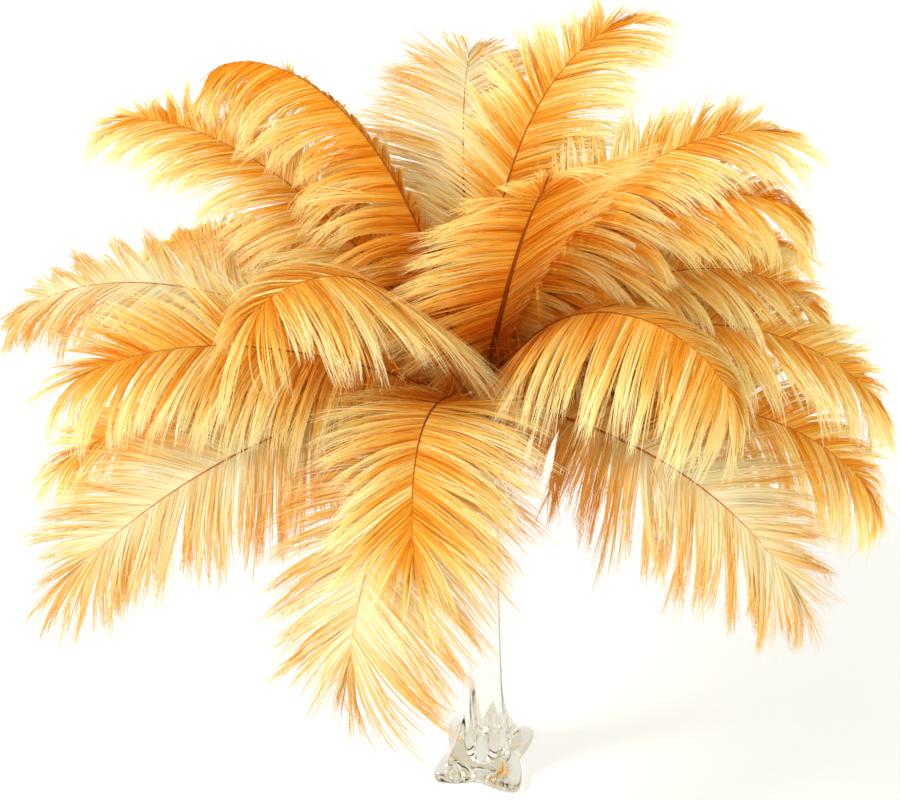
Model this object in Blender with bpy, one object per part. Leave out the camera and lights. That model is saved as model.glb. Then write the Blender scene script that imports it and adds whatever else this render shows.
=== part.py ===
"""A bunch of dyed ostrich plumes standing in a tall pressed-glass trumpet vase.

Metres, +Z up. The origin is the middle of the vase's flat underside, and the front of the bunch is -Y.
Every plume is one solid: its quill, its shaft and the thin two-sided vane that its barbs fill.
"""

from dataclasses import dataclass
from math import cos, pi, radians, sin, tau

import bmesh
import bpy
import numpy as np
from mathutils.bvhtree import BVHTree

GLASS_COLOUR = (0.90, 0.93, 0.90, 1.0)
PLUME_COLOUR = (0.87, 0.42, 0.09, 1.0)

# Outside of the glass: height, mean radius, and how far the four corners stand out from it.
VASE_OUTSIDE = [
    (0.000, 0.0475, 0.0140),
    (0.003, 0.0490, 0.0150),
    (0.010, 0.0490, 0.0150),
    (0.014, 0.0455, 0.0145),
    (0.024, 0.0370, 0.0105),
    (0.040, 0.0305, 0.0068),
    (0.065, 0.0255, 0.0040),
    (0.110, 0.0215, 0.0020),
    (0.180, 0.0195, 0.0010),
    (0.270, 0.0190, 0.0000),
    (0.350, 0.0215, 0.0000),
    (0.410, 0.0280, 0.0000),
    (0.455, 0.0370, 0.0000),
    (0.485, 0.0450, 0.0000),
    (0.500, 0.0510, 0.0000),
]
# Bore from the mouth down to the rounded bottom of the hollow: height and radius.
VASE_BORE = [
    (0.500, 0.0478),
    (0.485, 0.0415),
    (0.455, 0.0335),
    (0.410, 0.0245),
    (0.350, 0.0178),
    (0.270, 0.0150),
    (0.160, 0.0150),
    (0.070, 0.0165),
    (0.038, 0.0165),
    (0.028, 0.0120),
]
BORE_BOTTOM = 0.0245
VASE_SIDES = 24
CORNERS = 4
FOOT_TURN = radians(31.0)

QUILL_END_HEIGHT = 0.352
MOUTH_EXIT_HEIGHT = 0.503
QUILL_RADIUS = 0.0020
SHAFT_TIP_RADIUS = 0.0007
BARE_SHAFT = 0.045
SHAFT_SHARE = 0.90
FRAME_SHARE = 1.25
VANE_HALF_THICKNESS = 0.0005
ROOT_BARB_ANGLE = 68.0
TIP_ANGLE_LOSS = 32.0
SAG_SCALE = 1.5
ROLL_SAG = 2.0
ROOT_REACH = 0.50
FULL_REACH_SHARE = 0.32
TIP_REACH_LOSS = 0.34
APEX_AHEAD = 1.1
QUILL_PULL = 0.9
SLANT_LOSS = 0.55
LEAVE_LIMIT = 3.0
QUILL_STATIONS = 4
VANE_STATIONS = 10
RIB_STEPS = 12
RIB_POINTS = 3
RING_SIZE = 12
NEIGHBOUR_GAP = 0.0008
SHRINK = 0.86
SMALLEST_SHARE = 0.05
SEARCH_ROUNDS = 60
SPREAD_ROUNDS = 400
SWAY_POWER = 1.5
LATER_BARB_POWER = 1.5
ROUNDING_POWER = 3.0


@dataclass(frozen=True)
class Tier:
    """A ring of quills: radius and least angle between two of them, in the throat and at the mouth."""

    throat_radius: float
    throat_gap: float
    mouth_radius: float
    mouth_gap: float


OUTER = Tier(throat_radius=0.0136, throat_gap=21, mouth_radius=0.0405, mouth_gap=10)
MIDDLE = Tier(throat_radius=0.0081, throat_gap=34, mouth_radius=0.0255, mouth_gap=14)
INNER = Tier(throat_radius=0.0030, throat_gap=105, mouth_radius=0.0100, mouth_gap=50)


@dataclass(frozen=True)
class Plume:
    """One plume. Angles are in degrees and lengths in metres.

    lean is the shaft's angle from upright at the mouth and bend what it gains by the tip, more of it near the
    tip the larger late is. sway is the shaft's sideways turn, left and right are the longest barbs on each
    side, and sag is how far they hang. roll is the turn of the vane about the shaft, rise the angle at which
    both its sides leave the shaft, and the two splays are what each side's barbs lean back towards the root.
    """

    name: str
    tier: Tier
    azimuth: float
    lean: float
    bend: float
    late: float
    sway: float
    length: float
    left: float
    right: float
    sag: float
    roll: float
    rise: float
    left_splay: float
    right_splay: float


# Those that show most come first: where two vanes would meet, the later one gives way.
PLUMES = [
    Plume("plume_front_right", MIDDLE, 323, 22, 147, 1.5, 0, 0.365, 0.130, 0.150, 1.3, 0, -6, 0, 24),
    Plume("plume_front", MIDDLE, 251, 52, 92, 1.5, 24, 0.330, 0.145, 0.130, 0.6, 0, 8, 8, 4),
    Plume("plume_front_left_arch", MIDDLE, 213, 15, 122, 1.8, 6, 0.340, 0.155, 0.125, 1.0, 0, 0, 34, 0),
    Plume("plume_left_mid", MIDDLE, 197, 60, 56, 2.4, 0, 0.385, 0.150, 0.130, 0.9, -16, 8, 0, 0),
    Plume("plume_centre", INNER, 318, 15, 32, 3.0, -30, 0.300, 0.165, 0.155, 0.35, 0, 8, 20, 20),
    Plume("plume_left_arch", INNER, 141, 14, 130, 2.1, 6, 0.495, 0.125, 0.085, 1.6, 0, -28, 0, 0),
    Plume("plume_left_high", MIDDLE, 149, 33, 79, 1.4, -3, 0.490, 0.125, 0.105, 0.7, -12, 8, 0, 0),
    Plume("plume_back_upright", INNER, 92, 35, 58, 1.2, -10, 0.430, 0.150, 0.150, 0.30, 0, 8, 12, 12),
    Plume("plume_back_right", MIDDLE, 72, 14, 74, 1.3, -42, 0.430, 0.100, 0.130, 0.7, 10, 8, 0, 0),
    Plume("plume_right_high", MIDDLE, 21, 12, 99, 1.2, -6, 0.420, 0.115, 0.130, 0.7, 14, 8, 0, 0),
    Plume("plume_right_second", MIDDLE, 8, 24, 118, 1.7, -3, 0.405, 0.105, 0.125, 0.8, 12, 8, 0, 0),
    Plume("plume_front_right_low", OUTER, 318, 82, 66, 2.0, 0, 0.362, 0.135, 0.145, 0.7, 14, 8, 0, 0),
    Plume("plume_front_low", OUTER, 248, 76, 90, 1.7, 4, 0.352, 0.175, 0.140, 0.5, 0, 8, 6, 4),
    Plume("plume_front_left_low", OUTER, 209, 70, 55, 0.9, 0, 0.412, 0.140, 0.140, 0.6, -16, 8, 0, 0),
    Plume("plume_left_far", OUTER, 171, 61, 76, 2.1, -2, 0.465, 0.115, 0.105, 0.7, -14, 8, 0, 0),
    Plume("plume_left_lower", OUTER, 188, 80, 53, 1.9, -2, 0.395, 0.120, 0.115, 0.7, -14, 8, 0, 0),
    Plume("plume_right_shelf", OUTER, 5, 30, 120, 1.2, -4, 0.380, 0.105, 0.120, 0.8, 12, 8, 0, 0),
    Plume("plume_right_far", OUTER, 352, 49, 106, 1.3, -2, 0.420, 0.105, 0.120, 0.7, 12, 8, 0, 0),
    Plume("plume_right_lower", OUTER, 339, 79, 87, 2.5, 4, 0.400, 0.115, 0.130, 0.7, 14, 8, 0, 0),
    Plume("plume_back_far_right", OUTER, 30, 62, 66, 1.5, 0, 0.400, 0.115, 0.115, 0.8, 8, 8, 0, 0),
    Plume("plume_back_low_right", OUTER, 62, 66, 66, 1.5, 0, 0.410, 0.120, 0.120, 0.8, 0, 8, 0, 0),
    Plume("plume_back_low", OUTER, 87, 64, 70, 1.5, 0, 0.420, 0.125, 0.125, 0.8, 0, 8, 0, 0),
    Plume("plume_back_low_left", OUTER, 116, 66, 66, 1.5, 0, 0.410, 0.120, 0.120, 0.8, 0, 8, 0, 0),
    Plume("plume_back_far_left", OUTER, 144, 60, 70, 1.5, 0, 0.420, 0.115, 0.115, 0.8, -8, 8, 0, 0),
]


def spread_out(angles: list, gap: float) -> list:
    """Angles round a ring pushed apart until neighbours are at least gap degrees from each other."""
    order = sorted(range(len(angles)), key=lambda i: angles[i] % 360)
    placed = [angles[i] % 360 for i in order]
    count = len(placed)
    for _ in range(SPREAD_ROUNDS):
        for i in range(count):
            j = (i + 1) % count
            short = gap - (placed[j] - placed[i]) % 360
            if 0 < short < 180:
                placed[i] -= short / 2
                placed[j] += short / 2
    out = [0.0] * count
    for i, angle in zip(order, placed):
        out[i] = angle
    return out


def find_seats() -> dict:
    """Each plume's place in its ring, as (angle in the throat, angle at the mouth)."""
    found = {}
    for tier in (OUTER, MIDDLE, INNER):
        ring = [p for p in PLUMES if p.tier == tier]
        angles = [p.azimuth for p in ring]
        throat, mouth = spread_out(angles, tier.throat_gap), spread_out(angles, tier.mouth_gap)
        for plume, low, high in zip(ring, throat, mouth):
            found[plume.name] = (radians(low), radians(high))
    return found


SEATS = find_seats()


def ring_point(radius: float, angle: float, height: float) -> np.ndarray:
    """A point at a radius and angle round the vase's axis."""
    return np.array([radius * cos(angle), radius * sin(angle), height])


def frame_along(plume: Plume, count: int = 81) -> dict:
    """The shaft above the mouth: arc length, points, tangents, sideways and upward axes, and bending."""
    arc = np.linspace(0.0, FRAME_SHARE * plume.length, count)
    share = arc / plume.length
    tilt = np.radians(plume.lean + plume.bend * share**plume.late)
    turn = np.radians(plume.azimuth + plume.sway * share**SWAY_POWER)
    tangent = np.stack([np.sin(tilt) * np.cos(turn), np.sin(tilt) * np.sin(turn), np.cos(tilt)], 1)
    side = np.stack([-np.sin(turn), np.cos(turn), np.zeros(count)], 1)
    upper = np.cross(tangent, side)
    roll = radians(plume.roll)
    side, upper = cos(roll) * side + sin(roll) * upper, cos(roll) * upper - sin(roll) * side
    steps = 0.5 * (tangent[1:] + tangent[:-1]) * np.diff(arc)[:, None]
    start = ring_point(plume.tier.mouth_radius, SEATS[plume.name][1], MOUTH_EXIT_HEIGHT)
    points = start + np.vstack([np.zeros(3), np.cumsum(steps, 0)])
    return {"arc": arc, "P": points, "T": tangent, "B": side, "N": upper, "K": np.gradient(tilt, arc)}


def at(frame: dict, arc: np.ndarray, key: str) -> np.ndarray:
    """One row of the frame read at given arc lengths."""
    row = frame[key]
    if row.ndim == 1:
        return np.interp(arc, frame["arc"], row)
    return np.stack([np.interp(arc, frame["arc"], row[:, i]) for i in range(3)], -1)


def vane_arc(plume: Plume, share: np.ndarray) -> np.ndarray:
    """Arc length on the shaft at shares of the vane, which starts above the bare quill."""
    return BARE_SHAFT + share * (SHAFT_SHARE * plume.length - BARE_SHAFT)


def barb_reach(share: np.ndarray) -> np.ndarray:
    """Barb length along the vane as a share of the longest: short at the root, broad, then rounded off."""
    grow = ROOT_REACH + (1.0 - ROOT_REACH) * np.sin(0.5 * pi * np.clip(share / FULL_REACH_SHARE, 0, 1))
    return grow * (1.0 - TIP_REACH_LOSS * np.clip(share, 0, 1) ** ROUNDING_POWER)


def barb_paths(
    plume: Plume, frame: dict, share: np.ndarray, hand: int, reach: np.ndarray, steps: int
) -> np.ndarray:
    """Barb centrelines from the shaft outwards: an array of barbs by points by xyz."""
    arc = vane_arc(plume, share)
    T, B, N = (at(frame, arc, key) for key in "TBN")
    splay = plume.left_splay if hand > 0 else plume.right_splay
    angle = np.radians(ROOT_BARB_ANGLE + splay - TIP_ANGLE_LOSS * share**LATER_BARB_POWER)[:, None]
    rise = radians(plume.rise)
    go = np.cos(angle) * T + np.sin(angle) * (cos(rise) * hand * B + sin(rise) * N)
    point = at(frame, arc, "P")
    out = [point]
    step = (reach / steps)[:, None]
    here = arc.copy()
    down = np.array([0.0, 0.0, -1.0])
    hang = plume.sag * (1.0 - ROLL_SAG * hand * sin(radians(plume.roll)))
    for k in range(steps):
        part = (k + 0.5) / steps
        along = (go * at(frame, here, "T")).sum(1, keepdims=True)
        here = here + (step * along)[:, 0]
        go = go - at(frame, here, "N") * along * at(frame, here, "K")[:, None] * step
        pull = hang * SAG_SCALE * part / steps
        go = go + (down - (go @ down)[:, None] * go) * pull
        go = go / np.linalg.norm(go, axis=1, keepdims=True)
        point = point + go * step
        out.append(point)
    return np.stack(out, 1)


def quill_path(plume: Plume, frame: dict, count: int) -> tuple:
    """Points and tangents of the quill from its end in the throat up to the mouth."""
    low = ring_point(plume.tier.throat_radius, SEATS[plume.name][0], QUILL_END_HEIGHT)
    high, out = frame["P"][0], frame["T"][0]
    pull = QUILL_PULL * (high[2] - low[2])
    slant = sin(radians(abs(plume.lean)))
    spread = plume.tier.mouth_radius - plume.tier.throat_radius
    rise = np.array([0.0, 0.0, pull])
    leave = out * min(pull * (1.0 - SLANT_LOSS * slant), LEAVE_LIMIT * spread / slant)
    t = np.linspace(0.0, 1.0, count + 1)[:-1, None]
    points = (
        (2 * t**3 - 3 * t**2 + 1) * low + (t**3 - 2 * t**2 + t) * rise
        + (3 * t**2 - 2 * t**3) * high + (t**3 - t**2) * leave
    )
    slopes = (
        (6 * t**2 - 6 * t) * low + (3 * t**2 - 4 * t + 1) * rise
        + (6 * t - 6 * t**2) * high + (3 * t**2 - 2 * t) * leave
    )
    return points, slopes / np.linalg.norm(slopes, axis=1, keepdims=True)


def round_ring(centre: np.ndarray, tangent: np.ndarray, upper: np.ndarray, radius: float) -> np.ndarray:
    """A circle of ring points round a shaft, starting on its upper side."""
    up = upper - tangent * (upper @ tangent)
    up = up / np.linalg.norm(up)
    side = np.cross(up, tangent)
    turn = np.arange(RING_SIZE) * tau / RING_SIZE
    return centre + radius * (np.cos(turn)[:, None] * up + np.sin(turn)[:, None] * side)


def cut_paths(paths: np.ndarray, cut: np.ndarray) -> np.ndarray:
    """Rib points at even shares of each barb path, up to where the vane is cut short."""
    count = paths.shape[1] - 1
    where = cut[:, None] * np.arange(RIB_POINTS + 1) / RIB_POINTS * count
    low = np.minimum(where.astype(int), count - 1)
    part = (where - low)[..., None]
    rows = np.arange(len(paths))[:, None]
    return (1 - part) * paths[rows, low] + part * paths[rows, low + 1]


def plume_solid(plume: Plume, cut: np.ndarray, puff: float = 0.0) -> tuple:
    """Vertices and triangles of one plume, and which hand and station each triangle belongs to.

    Args:
        plume: The plume's figures.
        cut: For each hand and station, how much of the barbs' reach the vane has.
        puff: How much thicker the vane and shaft are made, for finding near misses.
    """
    frame = frame_along(plume)
    points, slopes = quill_path(plume, frame, QUILL_STATIONS)
    rings = [
        round_ring(p, t, frame["N"][0], QUILL_RADIUS + puff) for p, t in zip(points, slopes)
    ]
    rings.append(round_ring(frame["P"][0], frame["T"][0], frame["N"][0], QUILL_RADIUS + puff))
    share = np.linspace(0.0, 1.0, VANE_STATIONS)
    arc = vane_arc(plume, share)
    centre, upper = at(frame, arc, "P"), at(frame, arc, "N")
    radius = (QUILL_RADIUS + (SHAFT_TIP_RADIUS - QUILL_RADIUS) * arc / plume.length + puff)[:, None]
    half = VANE_HALF_THICKNESS + puff
    sides = []
    for row, (hand, longest) in enumerate(((1, plume.left), (-1, plume.right))):
        paths = barb_paths(plume, frame, share, hand, longest * barb_reach(share), RIB_STEPS)
        grid = cut_paths(paths, cut[row])
        normal = hand * np.cross(np.gradient(grid, axis=0), np.gradient(grid, axis=1))
        normal /= np.linalg.norm(normal, axis=2, keepdims=True)
        sides.append((grid, normal))
    (left, left_up), (right, right_up) = sides
    for i in range(VANE_STATIONS):
        rings.append(np.array([
            centre[i] + upper[i] * radius[i],
            left[i, 1] + left_up[i, 1] * half,
            left[i, 2] + left_up[i, 2] * half,
            left[i, 3],
            left[i, 2] - left_up[i, 2] * half,
            left[i, 1] - left_up[i, 1] * half,
            centre[i] - upper[i] * radius[i],
            right[i, 1] - right_up[i, 1] * half,
            right[i, 2] - right_up[i, 2] * half,
            right[i, 3],
            right[i, 2] + right_up[i, 2] * half,
            right[i, 1] + right_up[i, 1] * half,
        ]))
    last = 0.5 * (left[-1, 3] + right[-1, 3]) - centre[-1]
    ahead = np.array([arc[-1] + APEX_AHEAD * np.linalg.norm(last)])
    apex = at(frame, ahead, "P")[0]
    vertices = [tuple(p) for ring in rings for p in ring] + [tuple(apex)]
    faces, owners = [tuple(range(RING_SIZE))], [(None, 0)]
    for r in range(len(rings) - 1):
        for k in range(RING_SIZE):
            a, b = r * RING_SIZE + k, r * RING_SIZE + (k + 1) % RING_SIZE
            c, d = a + RING_SIZE, b + RING_SIZE
            outwards = k % (RING_SIZE // 2) < RIB_POINTS
            faces += [(a, c, d), (a, d, b)] if outwards else [(a, c, b), (b, c, d)]
            owners += [(int(k >= RING_SIZE // 2), r - QUILL_STATIONS - 1)] * 2
    top = (len(rings) - 1) * RING_SIZE
    for k in range(RING_SIZE):
        faces.append((top + k, len(vertices) - 1, top + (k + 1) % RING_SIZE))
        owners.append((int(k >= RING_SIZE // 2), VANE_STATIONS - 1))
    return vertices, faces, owners


def tree_of(vertices: list, faces: list) -> BVHTree:
    """A search tree of a solid's faces."""
    return BVHTree.FromPolygons(vertices, faces)


def fit_vanes(vase: tuple) -> dict:
    """How much of each vane's reach is free of the glass and of the other plumes.

    Every plume first gets a bare shaft. Then, in the table's order, each vane starts full and draws in
    wherever it would meet the glass, a vane already placed or a shaft still to come.
    """
    bare = np.full((2, VANE_STATIONS), SMALLEST_SHARE)
    glass = tree_of(*vase)
    trees = {p.name: tree_of(*plume_solid(p, bare)[:2]) for p in PLUMES}
    cuts = {}
    for plume in PLUMES:
        others = [glass] + [tree for name, tree in trees.items() if name != plume.name]
        cut = np.ones((2, VANE_STATIONS))
        for _ in range(SEARCH_ROUNDS):
            vertices, faces, owners = plume_solid(plume, cut, NEIGHBOUR_GAP)
            mine = tree_of(vertices, faces)
            hits = {owners[a] for other in others for a, _ in mine.overlap(other)}
            hits = {(hand, station) for hand, station in hits if station >= -1 and hand is not None}
            if not hits:
                break
            shrink = np.ones_like(cut)
            for hand, station in hits:
                for near in (station, station + 1):
                    if 0 <= near < VANE_STATIONS:
                        shrink[hand, near] = SHRINK
            cut = np.maximum(cut * shrink, SMALLEST_SHARE)
        cuts[plume.name] = cut
        trees[plume.name] = tree_of(*plume_solid(plume, cut)[:2])
    return cuts


def vase_solid() -> tuple:
    """Vertices and faces of the glass: foot, stem, trumpet and the hollow down the middle."""
    turn = FOOT_TURN + np.arange(VASE_SIDES) * tau / VASE_SIDES
    wave = np.cos(CORNERS * (turn - FOOT_TURN))
    rings = [(z, mean + lobe * wave) for z, mean, lobe in VASE_OUTSIDE]
    rings += [(z, np.full(VASE_SIDES, radius)) for z, radius in VASE_BORE]
    vertices = [
        (float(r * cos(a)), float(r * sin(a)), z) for z, radii in rings for r, a in zip(radii, turn)
    ]
    faces = [tuple(reversed(range(VASE_SIDES)))]
    for r in range(len(rings) - 1):
        for k in range(VASE_SIDES):
            a, b = r * VASE_SIDES + k, r * VASE_SIDES + (k + 1) % VASE_SIDES
            faces += [(a, b, b + VASE_SIDES), (a, b + VASE_SIDES, a + VASE_SIDES)]
    vertices.append((0.0, 0.0, BORE_BOTTOM))
    top = (len(rings) - 1) * VASE_SIDES
    for k in range(VASE_SIDES):
        faces.append((top + k, top + (k + 1) % VASE_SIDES, len(vertices) - 1))
    return vertices, faces


def principled(name: str, colour: tuple, roughness: float, clear: float = 0.0) -> bpy.types.Material:
    """A material with a colour, a roughness and, for the glass, transmission."""
    material = bpy.data.materials.new(name)
    material.use_nodes = True
    shader = material.node_tree.nodes["Principled BSDF"]
    shader.inputs["Base Color"].default_value = colour
    shader.inputs["Roughness"].default_value = roughness
    shader.inputs["Metallic"].default_value = 0.0
    shader.inputs["Transmission Weight"].default_value = clear
    shader.inputs["IOR"].default_value = 1.5
    material.diffuse_color = colour
    return material


def make_object(name: str, solid: tuple, material: bpy.types.Material) -> bpy.types.Object:
    """A closed, outward-facing mesh object of the given vertices and faces."""
    mesh = bpy.data.meshes.new(name)
    mesh.from_pydata(solid[0], [], solid[1])
    shape = bmesh.new()
    shape.from_mesh(mesh)
    bmesh.ops.triangulate(shape, faces=shape.faces)
    if shape.calc_volume(signed=True) < 0:
        bmesh.ops.reverse_faces(shape, faces=shape.faces)
    for face in shape.faces:
        face.smooth = True
    shape.to_mesh(mesh)
    shape.free()
    mesh.materials.append(material)
    made = bpy.data.objects.new(name, mesh)
    bpy.context.scene.collection.objects.link(made)
    return made


def main() -> None:
    """Clear the scene, then make the vase and the plumes."""
    for old in list(bpy.data.objects):
        bpy.data.objects.remove(old, do_unlink=True)
    vase = vase_solid()
    make_object("vase", vase, principled("vase_glass", GLASS_COLOUR, 0.05, clear=1.0))
    cuts = fit_vanes(vase)
    for plume in PLUMES:
        vertices, faces, _ = plume_solid(plume, cuts[plume.name])
        make_object(plume.name, (vertices, faces), principled(plume.name, PLUME_COLOUR, 0.65))


if __name__ == "__main__":
    main()
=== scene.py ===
"""The finished look of a bunch of dyed ostrich plumes in a tall clear trumpet vase.

Metres, +Z up. The origin is the middle of the vase's flat underside, and the front of the bunch is -Y.
Every plume is a shaft swept along its course and one mesh of barbs, which hang in locks from both sides
of it. The shafts follow the same figures as the solids that they stand for.
"""

import logging
from dataclasses import dataclass
from enum import Enum
from math import atan2, cos, pi, radians, sin, tau
from typing import Any, Optional

import bmesh
import bpy
import numpy as np
from mathutils import Matrix, Vector


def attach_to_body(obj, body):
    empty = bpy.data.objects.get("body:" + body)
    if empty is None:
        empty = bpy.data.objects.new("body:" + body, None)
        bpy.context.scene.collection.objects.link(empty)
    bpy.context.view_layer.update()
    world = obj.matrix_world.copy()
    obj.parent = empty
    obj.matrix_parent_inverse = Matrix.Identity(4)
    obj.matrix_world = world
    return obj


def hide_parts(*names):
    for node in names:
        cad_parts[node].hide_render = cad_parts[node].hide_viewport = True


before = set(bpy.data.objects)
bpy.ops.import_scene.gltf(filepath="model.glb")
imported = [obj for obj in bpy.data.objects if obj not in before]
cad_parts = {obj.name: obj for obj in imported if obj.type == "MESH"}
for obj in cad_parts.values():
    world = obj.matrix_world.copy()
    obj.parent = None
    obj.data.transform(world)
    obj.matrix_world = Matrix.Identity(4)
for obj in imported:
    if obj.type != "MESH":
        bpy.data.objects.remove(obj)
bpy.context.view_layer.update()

LOG = logging.getLogger("bunch")
BODY = "root"

# Where quills end in the throat and leave the mouth, the bare foot of a shaft, and where its vane ends.
QUILL_END_HEIGHT = 0.352
MOUTH_EXIT_HEIGHT = 0.503
BARE_SHAFT = 0.045
SHAFT_SHARE = 0.90

# The share of a plume's length that its course is worked out to, and how late its sideways turn comes.
COURSE_SHARE = 1.25
SWAY_POWER = 1.5

# How far a quill's two ends keep it straight, and how much less the upper one does at a slant.
QUILL_PULL = 0.9
SLANT_LOSS = 0.55
LEAVE_LIMIT = 3.0

SPREAD_ROUNDS = 400
FIRST_SEED = 100
DOWNWARDS = np.array([0.0, 0.0, -1.0])
HEART = (0.0, 0.0, 0.53)

Colour = tuple[float, float, float, float]


class Hand(Enum):
    """The side of the shaft that a barb grows from, seen from above with the tip ahead."""

    LEFT = 1
    RIGHT = -1


class Dye(Enum):
    """How deeply a plume took the dye."""

    RICH = "rich"
    GOLDEN = "golden"
    PALE = "pale"


class Tier(Enum):
    """A ring of quills: radius and least angle between two of them, in the throat and at the mouth."""

    OUTER = (0.0136, 21.0, 0.0405, 10.0)
    MIDDLE = (0.0081, 34.0, 0.0255, 14.0)
    INNER = (0.0030, 105.0, 0.0100, 50.0)

    def __init__(
        self, throat_radius: float, throat_gap: float, mouth_radius: float, mouth_gap: float
    ) -> None:
        """Name the ring's four figures.

        Args:
            throat_radius: The ring's radius in the throat.
            throat_gap: The least angle between two quills there, in degrees.
            mouth_radius: The ring's radius at the mouth.
            mouth_gap: The least angle between two quills there, in degrees.
        """
        self.throat_radius = throat_radius
        self.throat_gap = throat_gap
        self.mouth_radius = mouth_radius
        self.mouth_gap = mouth_gap


@dataclass(frozen=True)
class Plume:
    """One plume. Angles are in degrees and lengths in metres.

    lean is the shaft's angle from upright at the mouth and bend what it gains by the tip, more of it near the
    tip the larger late is. sway is the shaft's sideways turn, left and right are the longest barbs on each
    side, and sag is how far they hang. roll is the turn of the vane about the shaft, rise the angle at which
    both its sides leave the shaft, and the two splays are what each side's barbs lean back towards the root.
    shag is how far its locks part, and girth how thick its shaft is beside the others.
    """

    name: str
    tier: Tier
    azimuth: float
    lean: float
    bend: float
    late: float
    sway: float
    length: float
    left: float
    right: float
    sag: float
    roll: float
    rise: float
    left_splay: float
    right_splay: float
    dye: Dye
    shag: float = 0.8
    girth: float = 1.0

    @property
    def node(self) -> str:
        """The name of the plume's solid."""
        return f"plume_{self.name}"


OUTER, MIDDLE, INNER = Tier.OUTER, Tier.MIDDLE, Tier.INNER
RICH, GOLDEN, PALE = Dye.RICH, Dye.GOLDEN, Dye.PALE

PLUMES = [
    Plume("front_right", MIDDLE, 323, 22, 147, 1.5, 0, 0.365, 0.13, 0.15, 1.3, 0, -6, 0, 24, GOLDEN, 0.7),
    Plume("front", MIDDLE, 251, 52, 92, 1.5, 24, 0.33, 0.145, 0.13, 0.6, 0, 8, 8, 4, GOLDEN, 0.7),
    Plume("front_left_arch", MIDDLE, 213, 15, 122, 1.8, 6, 0.34, 0.155, 0.125, 1.0, 0, 0, 34, 0, GOLDEN),
    Plume("left_mid", MIDDLE, 197, 60, 56, 2.4, 0, 0.385, 0.15, 0.13, 0.9, -16, 8, 0, 0, GOLDEN, 0.7),
    Plume("centre", INNER, 318, 15, 32, 3.0, -30, 0.30, 0.165, 0.155, 0.35, 0, 8, 20, 20, RICH, 0.6, 2.3),
    Plume("left_arch", INNER, 141, 14, 130, 2.1, 6, 0.495, 0.125, 0.085, 1.6, 0, -28, 0, 0, RICH, 1.3),
    Plume("left_high", MIDDLE, 149, 33, 79, 1.4, -3, 0.49, 0.125, 0.105, 0.7, -12, 8, 0, 0, GOLDEN, 0.9),
    Plume("back_upright", INNER, 92, 35, 58, 1.2, -10, 0.43, 0.15, 0.15, 0.30, 0, 8, 12, 12, PALE, 0.5),
    Plume("back_right", MIDDLE, 72, 14, 74, 1.3, -42, 0.43, 0.10, 0.13, 0.7, 10, 8, 0, 0, GOLDEN),
    Plume("right_high", MIDDLE, 21, 12, 99, 1.2, -6, 0.42, 0.115, 0.13, 0.7, 14, 8, 0, 0, GOLDEN),
    Plume("right_second", MIDDLE, 8, 24, 118, 1.7, -3, 0.405, 0.105, 0.125, 0.8, 12, 8, 0, 0, RICH),
    Plume("front_right_low", OUTER, 318, 82, 66, 2.0, 0, 0.362, 0.135, 0.145, 0.7, 14, 8, 0, 0, PALE, 0.7),
    Plume("front_low", OUTER, 248, 76, 90, 1.7, 4, 0.352, 0.175, 0.14, 0.5, 0, 8, 6, 4, PALE, 0.5),
    Plume("front_left_low", OUTER, 209, 70, 55, 0.9, 0, 0.412, 0.14, 0.14, 0.6, -16, 8, 0, 0, PALE, 0.6),
    Plume("left_far", OUTER, 171, 61, 76, 2.1, -2, 0.465, 0.115, 0.105, 0.7, -14, 8, 0, 0, PALE, 0.6),
    Plume("left_lower", OUTER, 188, 80, 53, 1.9, -2, 0.395, 0.12, 0.115, 0.7, -14, 8, 0, 0, GOLDEN),
    Plume("right_shelf", OUTER, 5, 30, 120, 1.2, -4, 0.38, 0.105, 0.12, 0.8, 12, 8, 0, 0, GOLDEN),
    Plume("right_far", OUTER, 352, 49, 106, 1.3, -2, 0.42, 0.105, 0.12, 0.7, 12, 8, 0, 0, GOLDEN),
    Plume("right_lower", OUTER, 339, 79, 87, 2.5, 4, 0.40, 0.115, 0.13, 0.7, 14, 8, 0, 0, GOLDEN),
    Plume("back_far_right", OUTER, 30, 62, 66, 1.5, 0, 0.40, 0.115, 0.115, 0.8, 8, 8, 0, 0, GOLDEN),
    Plume("back_low_right", OUTER, 62, 66, 66, 1.5, 0, 0.41, 0.12, 0.12, 0.8, 0, 8, 0, 0, PALE),
    Plume("back_low", OUTER, 87, 64, 70, 1.5, 0, 0.42, 0.125, 0.125, 0.8, 0, 8, 0, 0, GOLDEN),
    Plume("back_low_left", OUTER, 116, 66, 66, 1.5, 0, 0.41, 0.12, 0.12, 0.8, 0, 8, 0, 0, PALE),
    Plume("back_far_left", OUTER, 144, 60, 70, 1.5, 0, 0.42, 0.115, 0.115, 0.8, -8, 8, 0, 0, GOLDEN),
]


def spread_out(angles: list[float], gap: float) -> list[float]:
    """Push angles round a ring apart until neighbours are at least a gap from each other.

    Args:
        angles: The wanted angles in degrees.
        gap: The least angle between two neighbours in degrees.

    Returns:
        The angles in the same order, moved as little as that takes.
    """
    order = sorted(range(len(angles)), key=lambda i: angles[i] % 360)
    placed = [angles[i] % 360 for i in order]
    count = len(placed)
    for _ in range(SPREAD_ROUNDS):
        for i in range(count):
            j = (i + 1) % count
            short = gap - (placed[j] - placed[i]) % 360
            if 0 < short < 180:
                placed[i] -= short / 2
                placed[j] += short / 2
    out = [0.0] * count
    for i, angle in zip(order, placed):
        out[i] = angle
    return out


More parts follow.
